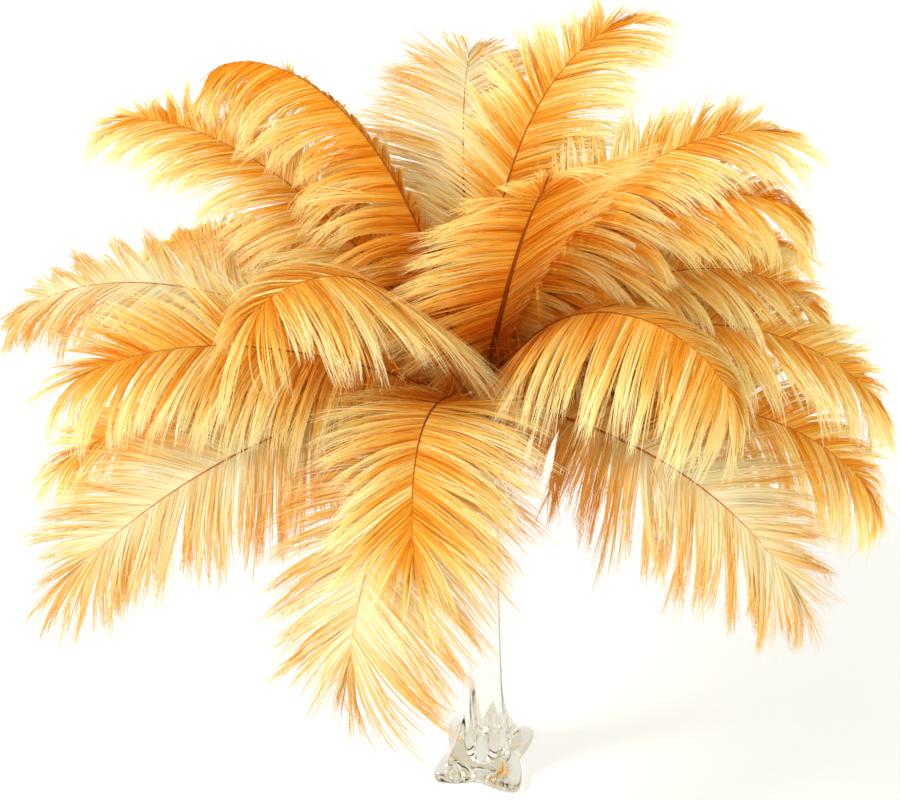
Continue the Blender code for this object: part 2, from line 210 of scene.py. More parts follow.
def find_seats() -> dict[str, tuple[float, float]]:
    """Find each plume's place in its ring.

    Returns:
        For each plume's name its angle in the throat and its angle at the mouth, in radians.
    """
    found = {}
    for tier in Tier:
        ring = [plume for plume in PLUMES if plume.tier is tier]
        angles = [plume.azimuth for plume in ring]
        throat, mouth = spread_out(angles, tier.throat_gap), spread_out(angles, tier.mouth_gap)
        for plume, low, high in zip(ring, throat, mouth):
            found[plume.name] = (radians(low), radians(high))
    return found


def unit(rows: np.ndarray) -> np.ndarray:
    """Rows scaled to length one."""
    return rows / np.linalg.norm(rows, axis=-1, keepdims=True)


def smooth_step(low: float, high: float, value: np.ndarray) -> np.ndarray:
    """A soft ramp from 0 at low to 1 at high."""
    share = np.clip((value - low) / (high - low), 0.0, 1.0)
    return share * share * (3.0 - 2.0 * share)


class Course:
    """The line of one plume's shaft, with the axes that its barbs grow by."""

    def __init__(self, plume: Plume, seat: tuple[float, float], count: int = 81) -> None:
        """Work out the shaft above the mouth.

        Args:
            plume: The plume's figures.
            seat: Its angles in the throat and at the mouth, in radians.
            count: Points along the shaft.
        """
        self.plume = plume
        self.seat = seat
        self.arc = np.linspace(0.0, COURSE_SHARE * plume.length, count)
        share = self.arc / plume.length
        tilt = np.radians(plume.lean + plume.bend * share**plume.late)
        turn = np.radians(plume.azimuth + plume.sway * share**SWAY_POWER)
        self.tangent = np.stack([np.sin(tilt) * np.cos(turn), np.sin(tilt) * np.sin(turn), np.cos(tilt)], 1)
        level = np.stack([-np.sin(turn), np.cos(turn), np.zeros(count)], 1)
        above = np.cross(self.tangent, level)
        roll = radians(plume.roll)
        self.side = cos(roll) * level + sin(roll) * above
        self.upper = cos(roll) * above - sin(roll) * level
        self.curve = np.gradient(tilt, self.arc)
        steps = 0.5 * (self.tangent[1:] + self.tangent[:-1]) * np.diff(self.arc)[:, None]
        radius = plume.tier.mouth_radius
        start = np.array([radius * cos(seat[1]), radius * sin(seat[1]), MOUTH_EXIT_HEIGHT])
        self.points = start + np.vstack([np.zeros(3), np.cumsum(steps, 0)])

    def read(self, row: np.ndarray, arc: np.ndarray) -> np.ndarray:
        """Read one of the course's rows at given arc lengths.

        Args:
            row: A number or a vector for each point of the course.
            arc: The arc lengths.

        Returns:
            The number or vector at each of them.
        """
        if row.ndim == 1:
            return np.interp(arc, self.arc, row)
        return np.stack([np.interp(arc, self.arc, row[:, i]) for i in range(3)], -1)

    def vane_arc(self, share: np.ndarray) -> np.ndarray:
        """Arc length at shares of the vane, which starts above the bare quill."""
        return BARE_SHAFT + share * (SHAFT_SHARE * self.plume.length - BARE_SHAFT)

    def quill(self, count: int) -> np.ndarray:
        """Lead the quill from its end in the throat up to just below the mouth's exit.

        Args:
            count: How many points to give.

        Returns:
            The points, the lowest first.
        """
        tier = self.plume.tier
        radius = tier.throat_radius
        low = np.array([radius * cos(self.seat[0]), radius * sin(self.seat[0]), QUILL_END_HEIGHT])
        high, out = self.points[0], self.tangent[0]
        pull = QUILL_PULL * (high[2] - low[2])
        slant = sin(radians(abs(self.plume.lean)))
        spread = tier.mouth_radius - radius
        rise = np.array([0.0, 0.0, pull])
        leave = out * min(pull * (1.0 - SLANT_LOSS * slant), LEAVE_LIMIT * spread / slant)
        t = np.linspace(0.0, 1.0, count + 1)[:-1, None]
        return (
            (2 * t**3 - 3 * t**2 + 1) * low
            + (t**3 - 2 * t**2 + t) * rise
            + (3 * t**2 - 2 * t**3) * high
            + (t**3 - t**2) * leave
        )


class Signal:
    """One output of a shader node, with the operators that add Math nodes."""

    def __init__(self, board: "Board", socket: bpy.types.NodeSocket) -> None:
        """Keep the socket and the board that it is on."""
        self.board = board
        self.socket = socket

    def _math(self, operation: str, first: Any, second: Any) -> "Signal":
        """Add a Math node of two values."""
        node = self.board.add("ShaderNodeMath", {"operation": operation}, {0: first, 1: second})
        return Signal(self.board, node.outputs[0])

    def __add__(self, other: Any) -> "Signal":
        """This plus another value."""
        return self._math("ADD", self, other)

    def __radd__(self, other: Any) -> "Signal":
        """Another value plus this."""
        return self._math("ADD", other, self)

    def __sub__(self, other: Any) -> "Signal":
        """This less another value."""
        return self._math("SUBTRACT", self, other)

    def __rsub__(self, other: Any) -> "Signal":
        """Another value less this."""
        return self._math("SUBTRACT", other, self)

    def __mul__(self, other: Any) -> "Signal":
        """This times another value."""
        return self._math("MULTIPLY", self, other)

    def __rmul__(self, other: Any) -> "Signal":
        """Another value times this."""
        return self._math("MULTIPLY", other, self)

    def __pow__(self, other: Any) -> "Signal":
        """This to a power."""
        return self._math("POWER", self, other)


class Board:
    """The node tree of one material or world."""

    def __init__(self, tree: bpy.types.NodeTree) -> None:
        """Clear the tree.

        Args:
            tree: The node tree to build on.
        """
        self.tree = tree
        self.tree.nodes.clear()

    def add(
        self, kind: str, settings: Optional[dict] = None, sockets: Optional[dict] = None
    ) -> bpy.types.Node:
        """Add a node.

        Args:
            kind: The node's type name.
            settings: Properties set first; stops is a ramp's list of positions and colours.
            sockets: Values or links, by the input's name or number.

        Returns:
            The new node.
        """
        node = self.tree.nodes.new(kind)
        for name, value in (settings or {}).items():
            if name == "stops":
                ramp = node.color_ramp
                while len(ramp.elements) < len(value):
                    ramp.elements.new(0.5)
                for element, (position, colour) in zip(ramp.elements, value):
                    element.position = position
                    element.color = colour
            else:
                setattr(node, name, value)
        for name, value in (sockets or {}).items():
            if isinstance(value, Signal):
                value = value.socket
            if isinstance(value, bpy.types.NodeSocket):
                self.tree.links.new(value, node.inputs[name])
            else:
                node.inputs[name].default_value = value
        return node

    def signal(
        self, kind: str, output: Any, settings: Optional[dict] = None, sockets: Optional[dict] = None
    ) -> Signal:
        """Add a node and take one of its outputs.

        Args:
            kind: The node's type name.
            output: The output's name or number.
            settings: As for add.
            sockets: As for add.

        Returns:
            The output.
        """
        return Signal(self, self.add(kind, settings, sockets).outputs[output])

    def finish(self, surface: bpy.types.NodeSocket, volume: Optional[bpy.types.NodeSocket] = None) -> None:
        """Link the surface, and the volume if there is one, to the output.

        Args:
            surface: The surface shader's socket.
            volume: The volume shader's socket.
        """
        sockets = {"Surface": surface}
        if volume is not None:
            sockets["Volume"] = volume
        self.add("ShaderNodeOutputMaterial", None, sockets)


def painted_heart_shade(board: Board, coordinates: Signal, near: float, far: float, depth: float) -> Signal:
    """Work out the painted shade that darkens the colour close to the bunch's heart.

    Args:
        board: The material's board.
        coordinates: Object coordinates.
        near: The distance within which the whole depth holds.
        far: The distance at which it has faded out.
        depth: What it adds.

    Returns:
        The painted shade at each point of the surface.
    """
    distance = board.signal("ShaderNodeVectorMath", "Value", {"operation": "DISTANCE"}, {
        0: coordinates, 1: HEART
    })
    return board.signal("ShaderNodeMapRange", 0, {"clamp": True}, {
        0: distance, 1: near, 2: far, 3: depth, 4: 0.0
    })


@dataclass(frozen=True)
class BarbFinish:
    """Dyed barbs: five colours from deep to light, and two for the light that shines through them.

    A barb starts at lift on that scale and changes by bleach towards its tip. That makes the tips of most
    plumes lighter, and those of the pale ones, whose bleach is below zero, more golden. The colour is deeper
    near the plume's root, partly its own dye and partly painted shade, and darker at its very end. In the
    heart of the bunch it is darkened by painted shade. The three plays are how far locks, strands and places
    differ.
    """

    name: str
    heart: Colour
    body: Colour
    gold: Colour
    light: Colour
    tip: Colour
    glow_deep: Colour
    glow_light: Colour
    lift: float
    bleach: float = 0.80
    bleach_power: float = 1.5
    # Deeper colour near the root: partly the plume's own dye, partly painted shade.
    root_dye_and_shade: float = 0.14
    root_share: float = 0.48
    end_depth: float = 0.08
    end_start: float = 0.86
    # Painted shade: the barbs darken in the bunch's heart, where the plumes shade each other.
    painted_heart_depth: float = 0.20
    heart_near: float = 0.04
    heart_far: float = 0.14
    lock_play: float = 0.34
    strand_play: float = 0.55
    cloud_play: float = 0.24
    cloud_scale: float = 14.0
    stops: tuple[float, ...] = (0.0, 0.22, 0.48, 0.72, 1.0)
    translucency: float = 0.34
    roughness: float = 0.55

    def level(self, board: Board) -> Signal:
        """Work out the place on the scale of colours.

        Args:
            board: The material's board.

        Returns:
            The level, from the barbs' two maps: strand (along the barb, strand's tone) and place (along the
            plume, lock's tone).
        """
        strand = board.add("ShaderNodeSeparateXYZ", None, {
            0: board.signal("ShaderNodeUVMap", "UV", {"uv_map": "strand"})
        })
        place = board.add("ShaderNodeSeparateXYZ", None, {
            0: board.signal("ShaderNodeUVMap", "UV", {"uv_map": "place"})
        })
        along, tone = Signal(board, strand.outputs[0]), Signal(board, strand.outputs[1])
        station, lock = Signal(board, place.outputs[0]), Signal(board, place.outputs[1])
        coordinates = board.signal("ShaderNodeTexCoord", "Object")
        cloud = board.signal("ShaderNodeTexNoise", 0, {"noise_dimensions": "3D"}, {
            "Vector": coordinates, "Scale": self.cloud_scale, "Detail": 2.0
        })
        play = (lock - 0.5) * self.lock_play + (tone - 0.5) * self.strand_play
        play = play + (cloud - 0.5) * self.cloud_play
        # Deeper colour near the root, partly own dye and partly painted shade.
        near_root = board.signal("ShaderNodeMapRange", 0, {"clamp": True}, {
            0: station, 1: 0.0, 2: self.root_share, 3: self.root_dye_and_shade, 4: 0.0
        })
        near_end = board.signal("ShaderNodeMapRange", 0, {"clamp": True}, {
            0: station, 1: self.end_start, 2: 1.0, 3: 0.0, 4: self.end_depth
        })
        # Painted shade: darker colour close to the bunch's heart, where the plumes shade each other.
        painted_heart_dark = painted_heart_shade(board, coordinates, self.heart_near, self.heart_far, self.painted_heart_depth)
        return along**self.bleach_power * self.bleach + play + self.lift - near_root - near_end - painted_heart_dark

    def material(self) -> bpy.types.Material:
        """Make the material: a dull dyed skin with light shining through it.

        Returns:
            The barbs' material.
        """
        made = bpy.data.materials.new(self.name)
        made.use_nodes = True
        board = Board(made.node_tree)
        level = self.level(board)
        colours = (self.heart, self.body, self.gold, self.light, self.tip)
        stops = list(zip(self.stops, colours))
        colour = board.signal("ShaderNodeValToRGB", "Color", {"stops": stops}, {0: level})
        skin = board.add("ShaderNodeBsdfPrincipled", None, {
            "Base Color": colour, "Roughness": self.roughness, "Specular IOR Level": 0.0
        })
        deep = board.add("ShaderNodeBsdfTranslucent", None, {"Color": self.glow_deep})
        light = board.add("ShaderNodeBsdfTranslucent", None, {"Color": self.glow_light})
        glow = board.add("ShaderNodeMixShader", None, {0: level, 1: deep.outputs[0], 2: light.outputs[0]})
        mixed = board.add("ShaderNodeMixShader", None, {
            0: self.translucency, 1: skin.outputs[0], 2: glow.outputs[0]
        })
        board.finish(mixed.outputs[0])
        made.diffuse_color = self.gold
        return made


@dataclass(frozen=True)
class ShaftFinish:
    """Dyed horn: pale at the quill in the glass, burnt orange above it and darkest in the bunch's heart,
    partly its own colour and partly painted shade.
    """

    name: str = "dyed_shaft"
    quill: Colour = (0.92, 0.70, 0.38, 1.0)
    horn: Colour = (0.44, 0.13, 0.012, 1.0)
    dark: Colour = (0.20, 0.030, 0.004, 1.0)
    stops: tuple[float, ...] = (0.0, 0.55, 1.0)
    dye_from: float = 0.40
    dye_full: float = 0.50
    # How the shaft darkens towards the bunch's heart: partly the horn's own colour, partly painted shade.
    heart_near: float = 0.06
    heart_far: float = 0.30
    painted_heart_depth: float = 0.81
    grain_scale: float = 160.0
    grain_play: float = 0.3
    grain_height: float = 0.0002
    grain_strength: float = 0.2
    gloss: float = 0.15
    roughness: float = 0.50
    roughness_play: float = 0.2

    def material(self) -> bpy.types.Material:
        """Make the material, which reads the height and a fine grain in Object coordinates.

        Returns:
            The shafts' material.
        """
        made = bpy.data.materials.new(self.name)
        made.use_nodes = True
        board = Board(made.node_tree)
        coordinates = board.signal("ShaderNodeTexCoord", "Object")
        height = Signal(board, board.add("ShaderNodeSeparateXYZ", None, {0: coordinates}).outputs[2])
        dyed = board.signal("ShaderNodeMapRange", 0, {"clamp": True}, {
            0: height, 1: self.dye_from, 2: self.dye_full, 3: 0.0, 4: self.stops[1]
        })
        # Darker towards the bunch's heart: partly the horn's own colour, partly painted shade.
        painted_heart_dark = painted_heart_shade(board, coordinates, self.heart_near, self.heart_far, self.painted_heart_depth)
        grain = board.signal("ShaderNodeTexNoise", 0, None, {
            "Vector": coordinates, "Scale": self.grain_scale, "Detail": 3.0
        })
        level = dyed + dyed * painted_heart_dark + (grain - 0.5) * self.grain_play
        stops = list(zip(self.stops, (self.quill, self.horn, self.dark)))
        colour = board.signal("ShaderNodeValToRGB", "Color", {"stops": stops}, {0: level})
        bump = board.add("ShaderNodeBump", None, {
            "Strength": self.grain_strength, "Distance": self.grain_height, "Height": grain
        })
        skin = board.add("ShaderNodeBsdfPrincipled", None, {
            "Base Color": colour,
            "Roughness": self.roughness + (grain - 0.5) * self.roughness_play,
            "Specular IOR Level": self.gloss,
            "Normal": bump.outputs[0],
        })
        board.finish(skin.outputs[0])
        made.diffuse_color = self.horn
        return made


@dataclass(frozen=True)
class GlassFinish:
    """Clear pressed glass: transmission, its refraction and a trace of absorption."""

    name: str = "clear_pressed_glass"
    clear: Colour = (1.0, 1.0, 1.0, 1.0)
    refraction: float = 1.48
    roughness: float = 0.01
    tint: Colour = (0.84, 0.74, 0.40, 1.0)
    density: float = 6.0
    ripple_scale: float = 45.0
    ripple_height: float = 0.001
    ripple_strength: float = 0.06

    def material(self) -> bpy.types.Material:
        """Make the material, with the faint waviness that a mould leaves.

        Returns:
            The vase's material.
        """
        made = bpy.data.materials.new(self.name)
        made.use_nodes = True
        board = Board(made.node_tree)
        coordinates = board.signal("ShaderNodeTexCoord", "Object")
        ripple = board.signal("ShaderNodeTexNoise", 0, None, {
            "Vector": coordinates, "Scale": self.ripple_scale, "Detail": 1.0
        })
        bump = board.add("ShaderNodeBump", None, {
            "Strength": self.ripple_strength, "Distance": self.ripple_height, "Height": ripple
        })
        skin = board.add("ShaderNodeBsdfPrincipled", None, {
            "Base Color": self.clear,
            "Roughness": self.roughness,
            "IOR": self.refraction,
            "Transmission Weight": 1.0,
            "Normal": bump.outputs[0],
        })
        depth = board.add("ShaderNodeVolumeAbsorption", None, {"Color": self.tint, "Density": self.density})
        board.finish(skin.outputs[0], depth.outputs[0])
        made.diffuse_color = self.tint
        return made


@dataclass(frozen=True)
class TableFinish:
    """A plain white table top that fades evenly into the light."""

    name: str = "white_table"
    colour: Colour = (0.40, 0.430, 0.445, 1.0)
    light: Colour = (0.992, 1.0, 0.97, 1.0)
    glow: float = 0.615
    roughness: float = 0.8
    gloss: float = 0.1

    def material(self) -> bpy.types.Material:
        """Make the material.

        Returns:
            The table top's material.
        """
        made = bpy.data.materials.new(self.name)
        made.use_nodes = True
        board = Board(made.node_tree)
        skin = board.add("ShaderNodeBsdfPrincipled", None, {
            "Base Color": self.colour,
            "Roughness": self.roughness,
            "Specular IOR Level": self.gloss,
            "Emission Color": self.light,
            "Emission Strength": self.glow,
        })
        board.finish(skin.outputs[0])
        return made


def deselect() -> None:
    """Leave object mode with nothing selected."""
    if bpy.context.object and bpy.context.object.mode != "OBJECT":
        bpy.ops.object.mode_set(mode="OBJECT")
    bpy.ops.object.select_all(action="DESELECT")


def settle(piece: bpy.types.Object) -> None:
    """Apply a piece's place, turn and scale to its mesh.

    Args:
        piece: The object, which then sits at the origin.
    """
    deselect()
    piece.select_set(True)
    bpy.context.view_layer.objects.active = piece
    bpy.ops.object.transform_apply(location=True, rotation=True, scale=True)


@dataclass
class ShaftSweep:
    """The quill and shaft of a plume: a ring of eight corners drawn along the course, and tapering."""

    course: Course
    corners: int = 8
    quill_radius: float = 0.0020
    tip_radius: float = 0.00030
    taper_power: float = 1.25
    girth_rise: float = 0.04
    quill_steps: int = 7
    shaft_steps: int = 22
    reach: float = 0.97
    least_turn: float = 1e-6

    def stations(self) -> tuple[np.ndarray, np.ndarray, np.ndarray]:
        """Work out the rings from the quill's end to the tip.

        Returns:
            Their centres, the ways that they face and their radii.
        """
        low = self.course.quill(self.quill_steps)
        arc = np.linspace(0.0, self.reach * self.course.plume.length, self.shaft_steps + 1)
        points = np.vstack([low, self.course.read(self.course.points, arc)])
        ahead = unit(np.gradient(points, axis=0))
        taper = (1.0 - arc / arc[-1]) ** self.taper_power
        radii = self.tip_radius + (self.quill_radius - self.tip_radius) * taper
        radii = radii * (1.0 + (self.course.plume.girth - 1.0) * smooth_step(0.0, self.girth_rise, arc))
        return points, ahead, np.concatenate([np.full(self.quill_steps, self.quill_radius), radii])

    def build(self, finish: bpy.types.Material) -> bpy.types.Object:
        """Draw the ring along the course.

        Args:
            finish: The shaft's material.

        Returns:
            The shaft, as one closed mesh.
        """
        points, ahead, radii = self.stations()
        deselect()
        facing = Vector(ahead[0]).to_track_quat("Z", "Y").to_euler()
        bpy.ops.mesh.primitive_circle_add(
            vertices=self.corners, radius=radii[0], fill_type="NGON", location=points[0], rotation=facing
        )
        made = bpy.context.object
        bpy.ops.object.mode_set(mode="EDIT")
        for i in range(1, len(points)):
            step = Vector(points[i] - points[i - 1])
            bpy.ops.mesh.extrude_region_move(TRANSFORM_OT_translate={"value": step})
            turn = Vector(ahead[i - 1]).rotation_difference(Vector(ahead[i])).to_euler("XYZ")
            centre = Vector(points[i])
            for angle, axis in zip(turn, "XYZ"):
                if abs(angle) > self.least_turn:
                    bpy.ops.transform.rotate(value=-angle, orient_axis=axis, center_override=centre)
            share = radii[i] / radii[i - 1]
            bpy.ops.transform.resize(value=(share, share, share), center_override=centre)
        bpy.ops.mesh.select_all(action="SELECT")
        bpy.ops.mesh.normals_make_consistent(inside=False)
        bpy.ops.object.mode_set(mode="OBJECT")
        made.name = made.data.name = f"{self.course.plume.node}_shaft"
        settle(made)
        bpy.ops.object.shade_smooth()
        made.data.materials.append(finish)
        return made


@dataclass
class Strands:
    """Ribbons of many strands: their corners, and the two maps that their finish reads."""

    corners: np.ndarray
    strand_map: np.ndarray
    place_map: np.ndarray


@dataclass(frozen=True)
class Spread:
    """Normal deviations: what a lock's strands share, what a tuft's share, a strand's own and a stray's."""

    lock: float
    tuft: float
    strand: float
    stray: float = 0.0


@dataclass(frozen=True)
class Growth:
    """How barbs leave the shaft and hang. Angles are in degrees, lengths are shares of the longest barb.

    The angle falls by angle_loss from the root to the end, where the last barbs close over the tip. The
    length starts at root_reach, is full by full_share of the vane, and has lost end_loss at its end.
    hang_gain is the pull at the end of a barb, and roll_hang lets the lower side of a rolled vane hang more
    than the upper.
    """

    root_angle: float = 68.0
    angle_loss: float = 32.0
    angle_power: float = 1.5
    close_from: float = 0.90
    close_share: float = 0.88
    root_reach: float = 0.50
    full_share: float = 0.32
    end_loss: float = 0.34
    end_power: float = 3.0
    hang_gain: float = 1.5
    roll_hang: float = 2.0


@dataclass(frozen=True)
class Variety:
    """How strands of one side differ: swing and lift in degrees, and factors on their sag and length.

    A strand's length starts at fullest and loses up to ragged. The outer tufts of a lock are shorter by
    lock_point and the outer strands of a tuft by tuft_point, so that both come to a point.
    """

    swing: Spread = Spread(0.9, 0.6, 0.6, 7.0)
    lift: Spread = Spread(1.4, 0.8, 0.8, 9.0)
    sag: Spread = Spread(0.14, 0.08, 0.05)
    sag_range: tuple[float, float] = (0.3, 2.0)
    length: Spread = Spread(0.06, 0.05, 0.0)
    length_range: tuple[float, float] = (0.75, 1.10)
    fullest: float = 1.05
    ragged: float = 0.34
    ragged_power: float = 1.6
    lock_point: float = 0.26
    lock_point_power: float = 1.5
    tuft_point: float = 0.08
    stray_length: tuple[float, float] = (0.95, 1.15)


@dataclass(frozen=True)
class Gather:
    """How strands draw together towards their tips, and how far they curl there, in metres.

    tight is the range of a lock's hold on its tufts, of which a plume with no shag keeps tight_floor.
    """

    tuft_hold: float = 0.90
    tuft_power: float = 1.4
    tight: tuple[float, float] = (0.30, 0.92)
    tight_floor: float = 0.4
    lock_power: float = 3.0
    stray_hold: float = 0.15
    curl: Spread = Spread(0.0085, 0.0040, 0.0016)
    stray_curl: float = 5.0
    curl_power: float = 2.4


@dataclass(frozen=True)
class Ribbon:
    """A strand's ribbon: widths and depths in metres, and turns about its own length in degrees.

    Strands lie at depths that differ by layer, and deeper by the two drops at a tuft's and a lock's edges.
    They reach their depth after full_depth_at of their length.
    """

    root_width: float = 0.00135
    width_range: tuple[float, float] = (0.7, 1.25)
    stray_width: float = 0.45
    tip_share: float = 0.10
    taper_power: float = 1.9
    layer: float = 0.0007
    tuft_drop: float = 0.0006
    lock_drop: float = 0.0012
    full_depth_at: float = 5 / 12
    tuft_turn: float = 24.0
    lock_turn: float = 14.0
    own_turn: float = 16.0


@dataclass(frozen=True)
class Tone:
    """What a strand's tone is made of, and how far along to the bleached tip a stray goes."""

    base: float = 0.10
    tuft: float = 0.30
    strand: float = 0.75
    # Painted shade: a tuft's outer strands are darker, standing in for the shade between tufts.
    edge_painted_shade: float = 0.20
    stray_loss: float = 0.25
    stray_bleach: float = 0.35


@dataclass(frozen=True)
class Down:
    """The short curly down round the foot of the shaft, in metres and degrees."""

    count: int = 200
    height: float = 0.075
    height_power: float = 1.3
    length: float = 0.042
    length_range: tuple[float, float] = (0.5, 1.15)
    width: float = 0.0009
    width_range: tuple[float, float] = (0.6, 1.2)
    angle_range: tuple[float, float] = (30.0, 88.0)
    curl: float = 0.16
    droop: float = 0.10
    tone_range: tuple[float, float] = (0.0, 0.9)
    bleach: float = 0.35


@dataclass
class Locks:
    """Where one side's strands grow, as an array of locks by tufts by strands, and which of them stray."""

    hand: Hand
    longest: float
    share: np.ndarray
    stray: np.ndarray

    @property
    def shape(self) -> tuple[int, int, int]:
        """How many locks, tufts in a lock and strands in a tuft there are."""
        return self.share.shape

    @property
    def in_tuft(self) -> np.ndarray:
        """Each strand's place across its tuft, from -1 to 1."""
        count = self.shape[2]
        return ((np.arange(count) + 0.5) / count * 2 - 1)[None, None, :]

    @property
    def in_lock(self) -> np.ndarray:
        """Each tuft's place across its lock, from -1 to 1."""
        count = self.shape[1]
        return ((np.arange(count) + 0.5) / count * 2 - 1)[None, :, None]


@dataclass
class BarbCoat:
    """All the barbs of one plume: tapered strands that gather into small tufts, and those into locks."""

    course: Course
    draw: np.random.Generator
    first_barb: float = 0.006
    lock_pitch: float = 0.0100
    tufts: int = 9
    strands: int = 4
    steps: int = 7
    edge_play: float = 0.3
    place_play: float = 0.05
    stray_share: float = 0.10
    growth: Growth = Growth()
    variety: Variety = Variety()
    gather: Gather = Gather()
    ribbon: Ribbon = Ribbon()
    tone: Tone = Tone()
    fluff: Down = Down()

    @property
    def along(self) -> np.ndarray:
        """Each station's share of a strand's length, from 0 at the root to 1 at the tip."""
        return np.linspace(0.0, 1.0, self.steps + 1)[:, None]

    def reach(self, share: np.ndarray) -> np.ndarray:
        """Work out a barb's length from its place: short at the root, broad, then rounded off.

        Args:
            share: Its place along the vane.

        Returns:
            Its share of the longest barb.
        """
        growth = self.growth
        rise = np.sin(0.5 * pi * np.clip(share / growth.full_share, 0, 1))
        grow = growth.root_reach + (1.0 - growth.root_reach) * rise
        return grow * (1.0 - growth.end_loss * np.clip(share, 0, 1) ** growth.end_power)

    def paths(self, locks: Locks, jitter: dict[str, np.ndarray]) -> np.ndarray:
        """Grow the barbs from the shaft outwards.

        Args:
            locks: The side's strands.
            jitter: For each strand swing and lift in degrees, and factors on its sag and its reach.

        Returns:
            An array of locks by tufts by strands by points by xyz.
        """
        course, growth = self.course, self.growth
        share, hand = locks.share.reshape(-1), locks.hand.value
        swing, lift, sag, reach = (jitter[name].reshape(-1) for name in ("swing", "lift", "sag", "reach"))
        arc = course.vane_arc(share)
        ahead, side, upper = (course.read(row, arc) for row in (course.tangent, course.side, course.upper))
        close = 1.0 - growth.close_share * smooth_step(growth.close_from, 1.0, share)
        splay = course.plume.left_splay if locks.hand is Hand.LEFT else course.plume.right_splay
        sweep = growth.root_angle + splay - growth.angle_loss * np.clip(share, 0, 1) ** growth.angle_power
        angle = np.radians(sweep * close + swing)[:, None]
        lift = np.radians(course.plume.rise + lift)[:, None]
        go = np.cos(angle) * ahead + np.sin(angle) * (np.cos(lift) * hand * side + np.sin(lift) * upper)
        step = (locks.longest * self.reach(share) * reach / self.steps)[:, None]
        point = course.read(course.points, arc)
        out = [point]
        here = arc.copy()
        hang = course.plume.sag * (1.0 - growth.roll_hang * hand * sin(radians(course.plume.roll)))
        for k in range(self.steps):
            part = (k + 0.5) / self.steps
            along = (go * course.read(course.tangent, here)).sum(1, keepdims=True)
            here = here + (step * along)[:, 0]
            bent = along * course.read(course.curve, here)[:, None] * step
            go = go - course.read(course.upper, here) * bent
            pull = (hang * sag * growth.hang_gain * part / self.steps)[:, None]
            go = unit(go + (DOWNWARDS - (go @ DOWNWARDS)[:, None] * go) * pull)
            point = point + go * step
            out.append(point)
        return np.stack(out, 1).reshape(locks.shape + (self.steps + 1, 3))

    def widen(self, lines: np.ndarray, normal: np.ndarray, width: np.ndarray, turn: np.ndarray) -> np.ndarray:
        """Widen centre lines into ribbons that taper to their tips.

        Args:
            lines: Centre lines, with the stations and xyz as the last two axes.
            normal: The way that each ribbon faces at each station.
            width: Each strand's width at its root.
            turn: Each strand's turn about its own length, in degrees.

        Returns:
            The two corners at each station, as one more axis before xyz.
        """
        across = np.cross(normal, unit(np.gradient(lines, axis=-2)))
        taper = 1.0 - (1.0 - self.ribbon.tip_share) * self.along**self.ribbon.taper_power
        half = 0.5 * width[..., None, None] * taper
        turned = np.radians(turn)[..., None, None]
        out = (np.cos(turned) * across + np.sin(turned) * normal) * half
        return np.stack([lines - out, lines + out], -2)

    def maps(
        self, bleach: np.ndarray, tone: np.ndarray, station: np.ndarray, lock: np.ndarray
    ) -> tuple[np.ndarray, np.ndarray]:
        """Spread each strand's figures over its corners.

        Args:
            bleach: How much of the way to the bleached tip the strand goes.
            tone: The strand's own tone.
            station: Its place along the vane.
            lock: The tone of its lock.

        Returns:
            The strand map and the place map.
        """
        full = tone.shape + (self.steps + 1, 2)
        rows = [np.broadcast_to(value[..., None, None], full) for value in (tone, station, lock)]
        along = np.broadcast_to(self.along * bleach[..., None, None], full)
        return np.stack([along, rows[0]], -1), np.stack([rows[1], rows[2]], -1)

    def lay_out(self, hand: Hand) -> Locks:
        """Share out one side's strands along the vane, in locks of uneven width.

        Args:
            hand: The side.

        Returns:
            Where its strands grow, and which of them stray.
        """
        plume, draw = self.course.plume, self.draw
        vane = SHAFT_SHARE * plume.length - BARE_SHAFT
        start = (self.first_barb - BARE_SHAFT) / vane
        locks = int(round(vane * (1.0 - start) / self.lock_pitch))
        shape = (locks, self.tufts, self.strands)
        edges = np.linspace(start, 1.0, locks + 1)
        edges[1:-1] += draw.uniform(-self.edge_play, self.edge_play, locks - 1) / locks
        inside = (np.arange(self.tufts * self.strands) + 0.5) / (self.tufts * self.strands)
        share = edges[:-1, None] + inside * np.diff(edges)[:, None]
        share = share + draw.normal(0, self.place_play / locks, share.shape)
        share = np.clip(share, start, 1.0).reshape(shape)
        longest = plume.left if hand is Hand.LEFT else plume.right
        return Locks(hand, longest, share, draw.random(shape) < self.stray_share)

    def deviate(self, locks: Locks, spread: Spread) -> np.ndarray:
        """Draw every strand's deviation, of which its tuft and its lock share a part.

        Args:
            locks: The side's strands.
            spread: The normal deviations.

        Returns:
            A number for each strand.
        """
        draw, shape = self.draw, locks.shape
        out = draw.normal(0, 1, shape) * spread.strand
        out = out + draw.normal(0, 1, shape[:2])[..., None] * spread.tuft
        out = out + draw.normal(0, 1, shape[0])[:, None, None] * spread.lock
        if spread.stray:
            out = out + locks.stray * draw.normal(0, spread.stray, shape)
        return out

    def vary(self, locks: Locks) -> dict[str, np.ndarray]:
        """Draw how each strand differs from the others.

        Args:
            locks: The side's strands.

        Returns:
            For each strand swing and lift in degrees, and factors on its sag and its reach.
        """
        variety, draw, shape = self.variety, self.draw, locks.shape
        swing = self.deviate(locks, variety.swing)
        lift = self.deviate(locks, variety.lift)
        sag = np.clip(1.0 + self.deviate(locks, variety.sag), *variety.sag_range)
        reach = np.clip(1.0 + self.deviate(locks, variety.length), *variety.length_range)
        reach = reach * (variety.fullest - variety.ragged * draw.random(shape) ** variety.ragged_power)
        lock_point = 1.0 - variety.lock_point * np.abs(locks.in_lock) ** variety.lock_point_power
        tuft_point = 1.0 - variety.tuft_point * locks.in_tuft**2
        stray = np.where(locks.stray, draw.uniform(*variety.stray_length, shape), 1.0)
        return {"swing": swing, "lift": lift, "sag": sag, "reach": reach * (lock_point * tuft_point * stray)}

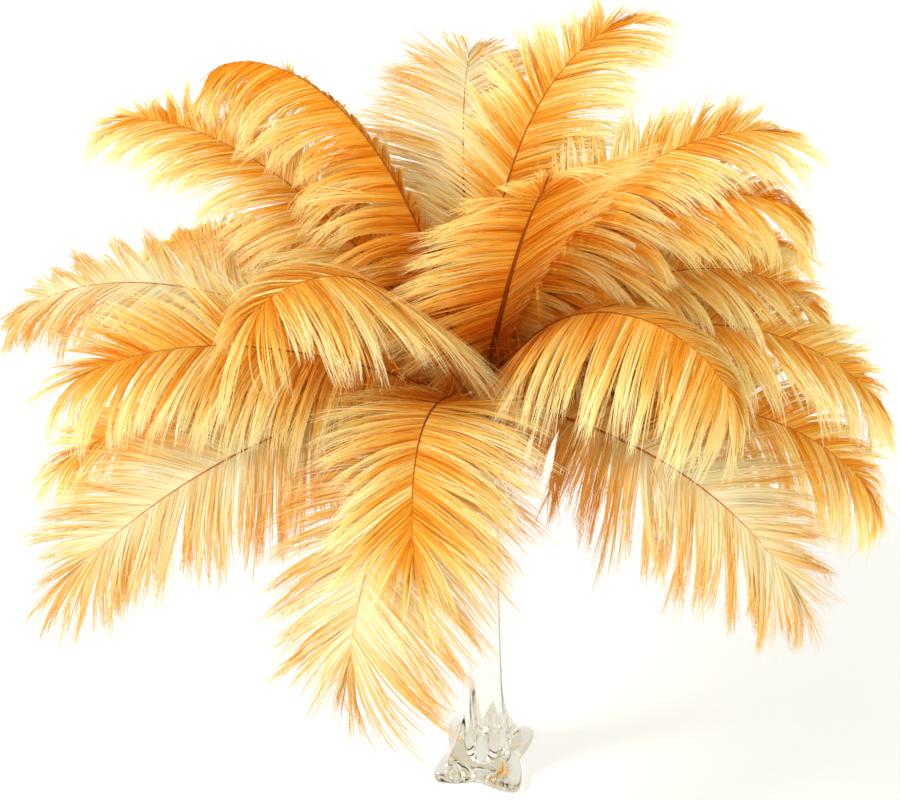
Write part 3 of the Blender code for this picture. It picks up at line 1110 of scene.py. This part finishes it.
    def draw_together(self, locks: Locks, grown: np.ndarray) -> np.ndarray:
        """Draw strands into tufts and tufts into locks towards their tips, and let each curl a little.

        Args:
            locks: The side's strands.
            grown: Their centre lines.

        Returns:
            The gathered centre lines.
        """
        gather, draw, shape, t = self.gather, self.draw, locks.shape, self.along
        shag = self.course.plume.shag
        stray = locks.stray[..., None, None]
        hold = np.where(stray, gather.stray_hold, 1.0)
        tuft_mean = grown.mean(2, keepdims=True)
        lock_mean = tuft_mean.mean(1, keepdims=True)
        kept = min(1.0, gather.tight_floor + (1.0 - gather.tight_floor) * shag)
        tight = draw.uniform(*gather.tight, (shape[0], 1, 1, 1, 1)) * kept
        curl = draw.normal(0, 1, shape + (1, 3)) * gather.curl.strand * (1 + gather.stray_curl * stray)
        curl = curl + draw.normal(0, 1, shape[:2] + (1, 1, 3)) * gather.curl.tuft
        curl = curl + draw.normal(0, 1, (shape[0], 1, 1, 1, 3)) * gather.curl.lock * shag
        to_tuft = gather.tuft_hold * t**gather.tuft_power * (tuft_mean - grown)
        to_lock = tight * t**gather.lock_power * (lock_mean - tuft_mean)
        return grown + hold * (to_tuft + to_lock) + curl * t**gather.curl_power

    def lay_ribbons(self, locks: Locks, grown: np.ndarray) -> np.ndarray:
        """Lay the strands at their depths and widen them.

        Args:
            locks: The side's strands.
            grown: Their centre lines.

        Returns:
            The ribbons' corners.
        """
        ribbon, draw, shape = self.ribbon, self.draw, locks.shape
        arc = self.course.vane_arc(locks.share.reshape(-1))
        shaft = self.course.read(self.course.tangent, arc).reshape(shape + (1, 3))
        ahead = unit(np.gradient(grown, axis=3))
        normal = unit(locks.hand.value * np.cross(np.broadcast_to(shaft, grown.shape), ahead))
        drop = ribbon.tuft_drop * locks.in_tuft**2 + ribbon.lock_drop * locks.in_lock**2
        depth = draw.normal(0, ribbon.layer, shape) - drop
        settled = np.sin(0.5 * pi * np.clip(self.along / ribbon.full_depth_at, 0, 1))
        grown = grown + normal * depth[..., None, None] * settled
        turn = ribbon.tuft_turn * locks.in_tuft + ribbon.lock_turn * locks.in_lock
        turn = turn + draw.normal(0, ribbon.own_turn, shape)
        width = ribbon.root_width * draw.uniform(*ribbon.width_range, shape)
        width = width * np.where(locks.stray, ribbon.stray_width, 1.0)
        return self.widen(grown, normal, width, turn)

    def side(self, hand: Hand) -> Strands:
        """Grow and gather the barbs of one side.

        Args:
            hand: The side.

        Returns:
            Its strands.
        """
        locks, draw, tone = self.lay_out(hand), self.draw, self.tone
        grown = self.draw_together(locks, self.paths(locks, self.vary(locks)))
        corners = self.lay_ribbons(locks, grown)
        tuft_tone = draw.random(locks.shape[:2])[..., None]
        own = tone.tuft * tuft_tone + tone.strand * draw.random(locks.shape) + tone.base
        # Painted shade: darker strands at the tuft's edges.
        own = own - tone.edge_painted_shade * locks.in_tuft**2 - tone.stray_loss * locks.stray
        lock_tone = draw.random(locks.shape[0])[:, None, None] * np.ones(locks.shape)
        bleach = np.where(locks.stray, tone.stray_bleach, 1.0)
        parts = (corners, *self.maps(bleach, own, locks.share, lock_tone))
        rows = (-1, self.steps + 1, 2)
        return Strands(*(part.reshape(rows + part.shape[-1:]) for part in parts))

    def down(self) -> Strands:
        """Grow the short curly down round the foot of the shaft, which fills the vase's mouth.

        Returns:
            The down's strands.
        """
        course, draw, fluff = self.course, self.draw, self.fluff
        count = fluff.count
        arc = fluff.height * draw.random(count) ** fluff.height_power
        ahead, side, upper = (course.read(row, arc) for row in (course.tangent, course.side, course.upper))
        turn = draw.uniform(0.0, tau, count)[:, None]
        angle = np.radians(draw.uniform(*fluff.angle_range, count))[:, None]
        go = np.cos(angle) * ahead + np.sin(angle) * (np.cos(turn) * side + np.sin(turn) * upper)
        step = (fluff.length * draw.uniform(*fluff.length_range, count) / self.steps)[:, None]
        curl = draw.normal(0, fluff.curl, (count, 3)) + fluff.droop * DOWNWARDS
        point = course.read(course.points, arc)
        out = [point]
        for _ in range(self.steps):
            go = unit(go + curl)
            point = point + go * step
            out.append(point)
        grown = np.stack(out, 1)
        facing = draw.normal(0, 1, (count, 1, 3)) * np.ones((1, self.steps + 1, 1))
        normal = unit(np.cross(facing, np.gradient(grown, axis=1)))
        width = fluff.width * draw.uniform(*fluff.width_range, count)
        corners = self.widen(grown, normal, width, np.zeros(count))
        tone, lock = draw.uniform(*fluff.tone_range, count), draw.random(count)
        return Strands(corners, *self.maps(np.full(count, fluff.bleach), tone, np.zeros(count), lock))

    def build(self, finish: bpy.types.Material) -> bpy.types.Object:
        """Join the barbs of both sides and the down into one mesh.

        Args:
            finish: The barbs' material.

        Returns:
            The coat of barbs.
        """
        parts = [self.side(hand) for hand in Hand] + [self.down()]
        corners = np.concatenate([part.corners for part in parts])
        strand_map = np.concatenate([part.strand_map for part in parts])
        place_map = np.concatenate([part.place_map for part in parts])
        barbs, stations = corners.shape[:2]
        first = (np.arange(barbs)[:, None] * stations + np.arange(stations - 1)) * 2
        faces = np.stack([first, first + 1, first + 3, first + 2], -1).reshape(-1, 4)
        mesh = bpy.data.meshes.new(f"{self.course.plume.node}_barbs")
        mesh.from_pydata(corners.reshape(-1, 3).tolist(), [], faces.tolist())
        mesh.polygons.foreach_set("use_smooth", np.ones(len(faces), bool))
        for name, values in (("strand", strand_map), ("place", place_map)):
            layer = mesh.uv_layers.new(name=name)
            corner_values = values.reshape(-1, 2)[faces.reshape(-1)]
            layer.uv.foreach_set("vector", corner_values.astype(np.float32).ravel())
        mesh.materials.append(finish)
        made = bpy.data.objects.new(mesh.name, mesh)
        bpy.context.scene.collection.objects.link(made)
        return made


@dataclass(frozen=True)
class GlassRing:
    """One ring of the glass: radius and height on its ridges and between them, and how narrow a ridge is."""

    ridge_radius: float
    ridge_height: float
    face_radius: float
    face_height: float
    narrow: float = 1.6


@dataclass
class TrumpetVase:
    """Clear pressed glass: a star foot with four legs that run up into a slim stem, and a flared mouth."""

    turn: float = radians(31.0)
    quarter: int = 8
    rounding: int = 2
    finish: GlassFinish = GlassFinish()
    start: GlassRing = GlassRing(0.0300, 0.0000, 0.0210, 0.0000, 1.4)
    outside: tuple[GlassRing, ...] = (
        GlassRing(0.0600, 0.0000, 0.0340, 0.0000, 1.5),
        GlassRing(0.0664, 0.0000, 0.0380, 0.0000, 1.5),
        GlassRing(0.0690, 0.0016, 0.0398, 0.0016, 1.5),
        GlassRing(0.0698, 0.0055, 0.0404, 0.0050, 1.5),
        GlassRing(0.0688, 0.0092, 0.0398, 0.0080, 1.5),
        GlassRing(0.0660, 0.0120, 0.0382, 0.0102, 1.5),
        GlassRing(0.0610, 0.0146, 0.0358, 0.0122, 1.5),
        GlassRing(0.0545, 0.0184, 0.0330, 0.0150, 1.5),
        GlassRing(0.0482, 0.0245, 0.0302, 0.0200, 1.5),
        GlassRing(0.0425, 0.0330, 0.0278, 0.0284, 1.5),
        GlassRing(0.0368, 0.0445, 0.0256, 0.0410, 1.5),
        GlassRing(0.0308, 0.0600, 0.0236, 0.0585, 1.4),
        GlassRing(0.0262, 0.0800, 0.0220, 0.0790, 1.3),
        GlassRing(0.0232, 0.1100, 0.0208, 0.1100, 1.2),
        GlassRing(0.0216, 0.1800, 0.0202, 0.1800, 1.2),
        GlassRing(0.0212, 0.2700, 0.0200, 0.2700, 1.2),
        GlassRing(0.0224, 0.3500, 0.0216, 0.3500, 1.2),
        GlassRing(0.0281, 0.4100, 0.0279, 0.4100),
        GlassRing(0.0370, 0.4550, 0.0370, 0.4550),
        GlassRing(0.0450, 0.4850, 0.0450, 0.4850),
        GlassRing(0.0508, 0.4985, 0.0508, 0.4985),
        GlassRing(0.0506, 0.5003, 0.0506, 0.5003),
    )
    bore: tuple[tuple[float, float], ...] = (
        (0.0486, 0.5003),
        (0.0478, 0.4985),
        (0.0415, 0.4850),
        (0.0335, 0.4550),
        (0.0250, 0.4100),
        (0.0190, 0.3500),
        (0.0174, 0.2700),
        (0.0176, 0.1600),
        (0.0180, 0.0900),
        (0.0190, 0.0500),
        (0.0200, 0.0250),
        (0.0200, 0.0150),
        (0.0188, 0.0105),
        (0.0130, 0.0082),
        (0.0040, 0.0076),
    )

    def _kind(self, place: Vector) -> int:
        """Tell the kinds of a ring's vertices apart.

        Args:
            place: Where the vertex is.

        Returns:
            How many steps round the ring it is from its nearest ridge.
        """
        step = (atan2(place.y, place.x) - self.turn) / (tau / (4 * self.quarter))
        offset = int(round(step)) % self.quarter
        return min(offset, self.quarter - offset)

    def _select(self, glass: bpy.types.Object, picked: list[int]) -> None:
        """Select just these vertices, and what lies wholly between them, in edit mode.

        Args:
            glass: The vase.
            picked: The vertices' numbers.
        """
        shell = bmesh.from_edit_mesh(glass.data)
        shell.verts.ensure_lookup_table()
        for vertex in shell.verts:
            vertex.select = False
        for i in picked:
            shell.verts[i].select = True
        shell.select_flush_mode()
        bmesh.update_edit_mesh(glass.data)

    def _shape(self, glass: bpy.types.Object, ring: GlassRing) -> None:
        """Bring the selected ring to its place, one kind of vertex at a time.

        Args:
            glass: The vase.
            ring: The radii and heights to give it.
        """
        shell = bmesh.from_edit_mesh(glass.data)
        new = [vertex.index for vertex in shell.verts if vertex.select]
        for kind in range(self.quarter // 2 + 1):
            shell = bmesh.from_edit_mesh(glass.data)
            shell.verts.ensure_lookup_table()
            same = [i for i in new if self._kind(shell.verts[i].co) == kind]
            weight = (1.0 - 2.0 * kind / self.quarter) ** ring.narrow
            radius = ring.face_radius + (ring.ridge_radius - ring.face_radius) * weight
            height = ring.face_height + (ring.ridge_height - ring.face_height) * weight
            old = shell.verts[same[0]].co.copy()
            share = radius / old.xy.length
            self._select(glass, same)
            bpy.ops.transform.resize(value=(share, share, 1.0), center_override=(0.0, 0.0, old.z))
            bpy.ops.transform.translate(value=(0.0, 0.0, height - old.z))
        self._select(glass, new)

    def build(self) -> bpy.types.Object:
        """Raise the outside from the underside, then sink the bore from the mouth.

        Returns:
            The vase, as one closed mesh.
        """
        deselect()
        bpy.ops.mesh.primitive_circle_add(
            vertices=4 * self.quarter,
            radius=self.start.ridge_radius,
            fill_type="NGON",
            location=(0.0, 0.0, 0.0),
            rotation=(0.0, 0.0, self.turn),
        )
        glass = bpy.context.object
        settle(glass)
        bpy.ops.object.mode_set(mode="EDIT")
        bpy.ops.mesh.select_all(action="SELECT")
        self._shape(glass, self.start)
        sunk = [GlassRing(radius, height, radius, height) for radius, height in self.bore]
        for ring in [*self.outside, *sunk]:
            bpy.ops.mesh.extrude_region_move(TRANSFORM_OT_translate={"value": (0.0, 0.0, 0.0)})
            self._shape(glass, ring)
        bpy.ops.mesh.select_all(action="SELECT")
        bpy.ops.mesh.normals_make_consistent(inside=False)
        bpy.ops.object.mode_set(mode="OBJECT")
        glass.name = glass.data.name = "vase_glass"
        smoother = glass.modifiers.new("rounding", "SUBSURF")
        smoother.levels = smoother.render_levels = self.rounding
        bpy.ops.object.modifier_apply(modifier=smoother.name)
        bpy.ops.object.shade_smooth()
        glass.data.materials.append(self.finish.material())
        return glass


@dataclass(frozen=True)
class BroadLamp:
    """A far lamp: where its light comes from, how wide it looks in degrees, and its strength."""

    name: str
    place: tuple[float, float, float]
    width: float
    strength: float
    colour: tuple[float, float, float] = (1.0, 0.98, 0.94)

    def hang(self) -> None:
        """Hang the lamp so that it faces the bunch."""
        data = bpy.data.lights.new(self.name, "SUN")
        data.angle, data.energy, data.color = radians(self.width), self.strength, self.colour
        lamp = bpy.data.objects.new(self.name, data)
        lamp.location = self.place
        lamp.rotation_euler = Vector(self.place).to_track_quat("Z", "Y").to_euler()
        bpy.context.scene.collection.objects.link(lamp)


@dataclass
class Studio:
    """A white table under soft light, and the camera above the front of the bunch."""

    table_width: float = 16.0
    table_gap: float = 0.0004
    target: tuple[float, float, float] = (-0.0235, 0.0, 0.487)
    elevation: float = radians(34.0)
    distance: float = 1.65
    roll: float = radians(-2.2)
    focal_pixels: float = 1705.0
    image_width: float = 900.0
    sensor: float = 36.0
    view_depth: float = 60.0
    sky: float = 0.72
    sky_colour: Colour = (1.0, 0.94, 0.82, 1.0)
    key: BroadLamp = BroadLamp("key", (-2.1, -0.40, 1.75), 10.0, 2.2)
    fill: BroadLamp = BroadLamp("fill", (0.5, -2.4, 0.8), 60.0, 1.5, (1.0, 0.95, 0.85))

    def table(self) -> bpy.types.Object:
        """Lay the table top.

        Returns:
            The table top, which is left off the body.
        """
        deselect()
        bpy.ops.mesh.primitive_plane_add(size=self.table_width, location=(0.0, 0.0, -self.table_gap))
        top = bpy.context.object
        top.name = top.data.name = "table_top"
        settle(top)
        top.data.materials.append(TableFinish().material())
        return top

    def light(self) -> None:
        """Fill the room with soft warm light, with a broad lamp on the left and another in front."""
        world = bpy.data.worlds.new("white_room")
        bpy.context.scene.world = world
        world.use_nodes = True
        board = Board(world.node_tree)
        sky = board.add("ShaderNodeBackground", None, {"Color": self.sky_colour, "Strength": self.sky})
        board.add("ShaderNodeOutputWorld", None, {"Surface": sky.outputs[0]})
        for lamp in (self.key, self.fill):
            lamp.hang()
        bpy.context.scene.view_settings.view_transform = "Standard"

    def camera(self) -> None:
        """Stand the camera where the photograph was taken from."""
        back = Vector((0.0, -cos(self.elevation), sin(self.elevation)))
        level, rise = Vector((1.0, 0.0, 0.0)), Vector((0.0, sin(self.elevation), cos(self.elevation)))
        right = cos(self.roll) * level + sin(self.roll) * rise
        above = cos(self.roll) * rise - sin(self.roll) * level
        data = bpy.data.cameras.new("photo_view")
        data.sensor_width = self.sensor
        data.lens = self.focal_pixels * self.sensor / self.image_width
        data.clip_end = self.view_depth
        camera = bpy.data.objects.new("photo_view", data)
        turned = Matrix((right, above, back)).transposed().to_4x4()
        camera.matrix_world = Matrix.Translation(Vector(self.target) + self.distance * back) @ turned
        bpy.context.scene.collection.objects.link(camera)
        bpy.context.scene.camera = camera


DYES = {
    RICH: BarbFinish(
        name="barbs_rich",
        heart=(0.64, 0.140, 0.009, 1.0),
        body=(0.84, 0.29, 0.012, 1.0),
        gold=(0.95, 0.50, 0.050, 1.0),
        light=(0.98, 0.76, 0.23, 1.0),
        tip=(1.0, 0.92, 0.50, 1.0),
        glow_deep=(0.95, 0.36, 0.015, 1.0),
        glow_light=(1.0, 0.80, 0.25, 1.0),
        lift=0.31,
    ),
    GOLDEN: BarbFinish(
        name="barbs_golden",
        heart=(0.68, 0.175, 0.011, 1.0),
        body=(0.88, 0.36, 0.022, 1.0),
        gold=(0.96, 0.60, 0.10, 1.0),
        light=(0.99, 0.86, 0.37, 1.0),
        tip=(1.0, 0.97, 0.65, 1.0),
        glow_deep=(0.95, 0.42, 0.025, 1.0),
        glow_light=(1.0, 0.85, 0.32, 1.0),
        lift=0.34,
    ),
    PALE: BarbFinish(
        name="barbs_pale",
        heart=(0.66, 0.27, 0.035, 1.0),
        body=(0.86, 0.47, 0.09, 1.0),
        gold=(0.92, 0.65, 0.22, 1.0),
        light=(0.92, 0.84, 0.53, 1.0),
        tip=(0.93, 0.90, 0.71, 1.0),
        glow_deep=(0.90, 0.48, 0.10, 1.0),
        glow_light=(0.98, 0.92, 0.63, 1.0),
        lift=0.80,
        bleach=-0.58,
        # Painted shade: the pale plumes stay deep orange near their roots, where they lie in shade.
        root_dye_and_shade=0.60,
    ),
}


def attach(piece: bpy.types.Object, node: str) -> None:
    """Let a piece stand for a solid: hang it on the body, hide the solid and log its faces.

    Args:
        piece: The finished object.
        node: The solid's name.
    """
    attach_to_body(piece, BODY)
    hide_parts(node)
    LOG.info("%s: %d faces", piece.name, len(piece.data.polygons))


def main() -> None:
    """Build the studio, the vase and the plumes in that order."""
    logging.basicConfig(level=logging.INFO, format="%(name)s: %(message)s")
    studio = Studio()
    studio.camera()
    studio.light()
    table = studio.table()
    LOG.info("%s: %d faces", table.name, len(table.data.polygons))
    attach(TrumpetVase().build(), "vase")
    seats = find_seats()
    shaft_finish = ShaftFinish().material()
    barb_finishes = {dye: finish.material() for dye, finish in DYES.items()}
    for number, plume in enumerate(PLUMES):
        course = Course(plume, seats[plume.name])
        attach(ShaftSweep(course).build(shaft_finish), plume.node)
        draw = np.random.default_rng(FIRST_SEED + number)
        attach(BarbCoat(course, draw).build(barb_finishes[plume.dye]), plume.node)


if __name__ == "__main__":
    main()
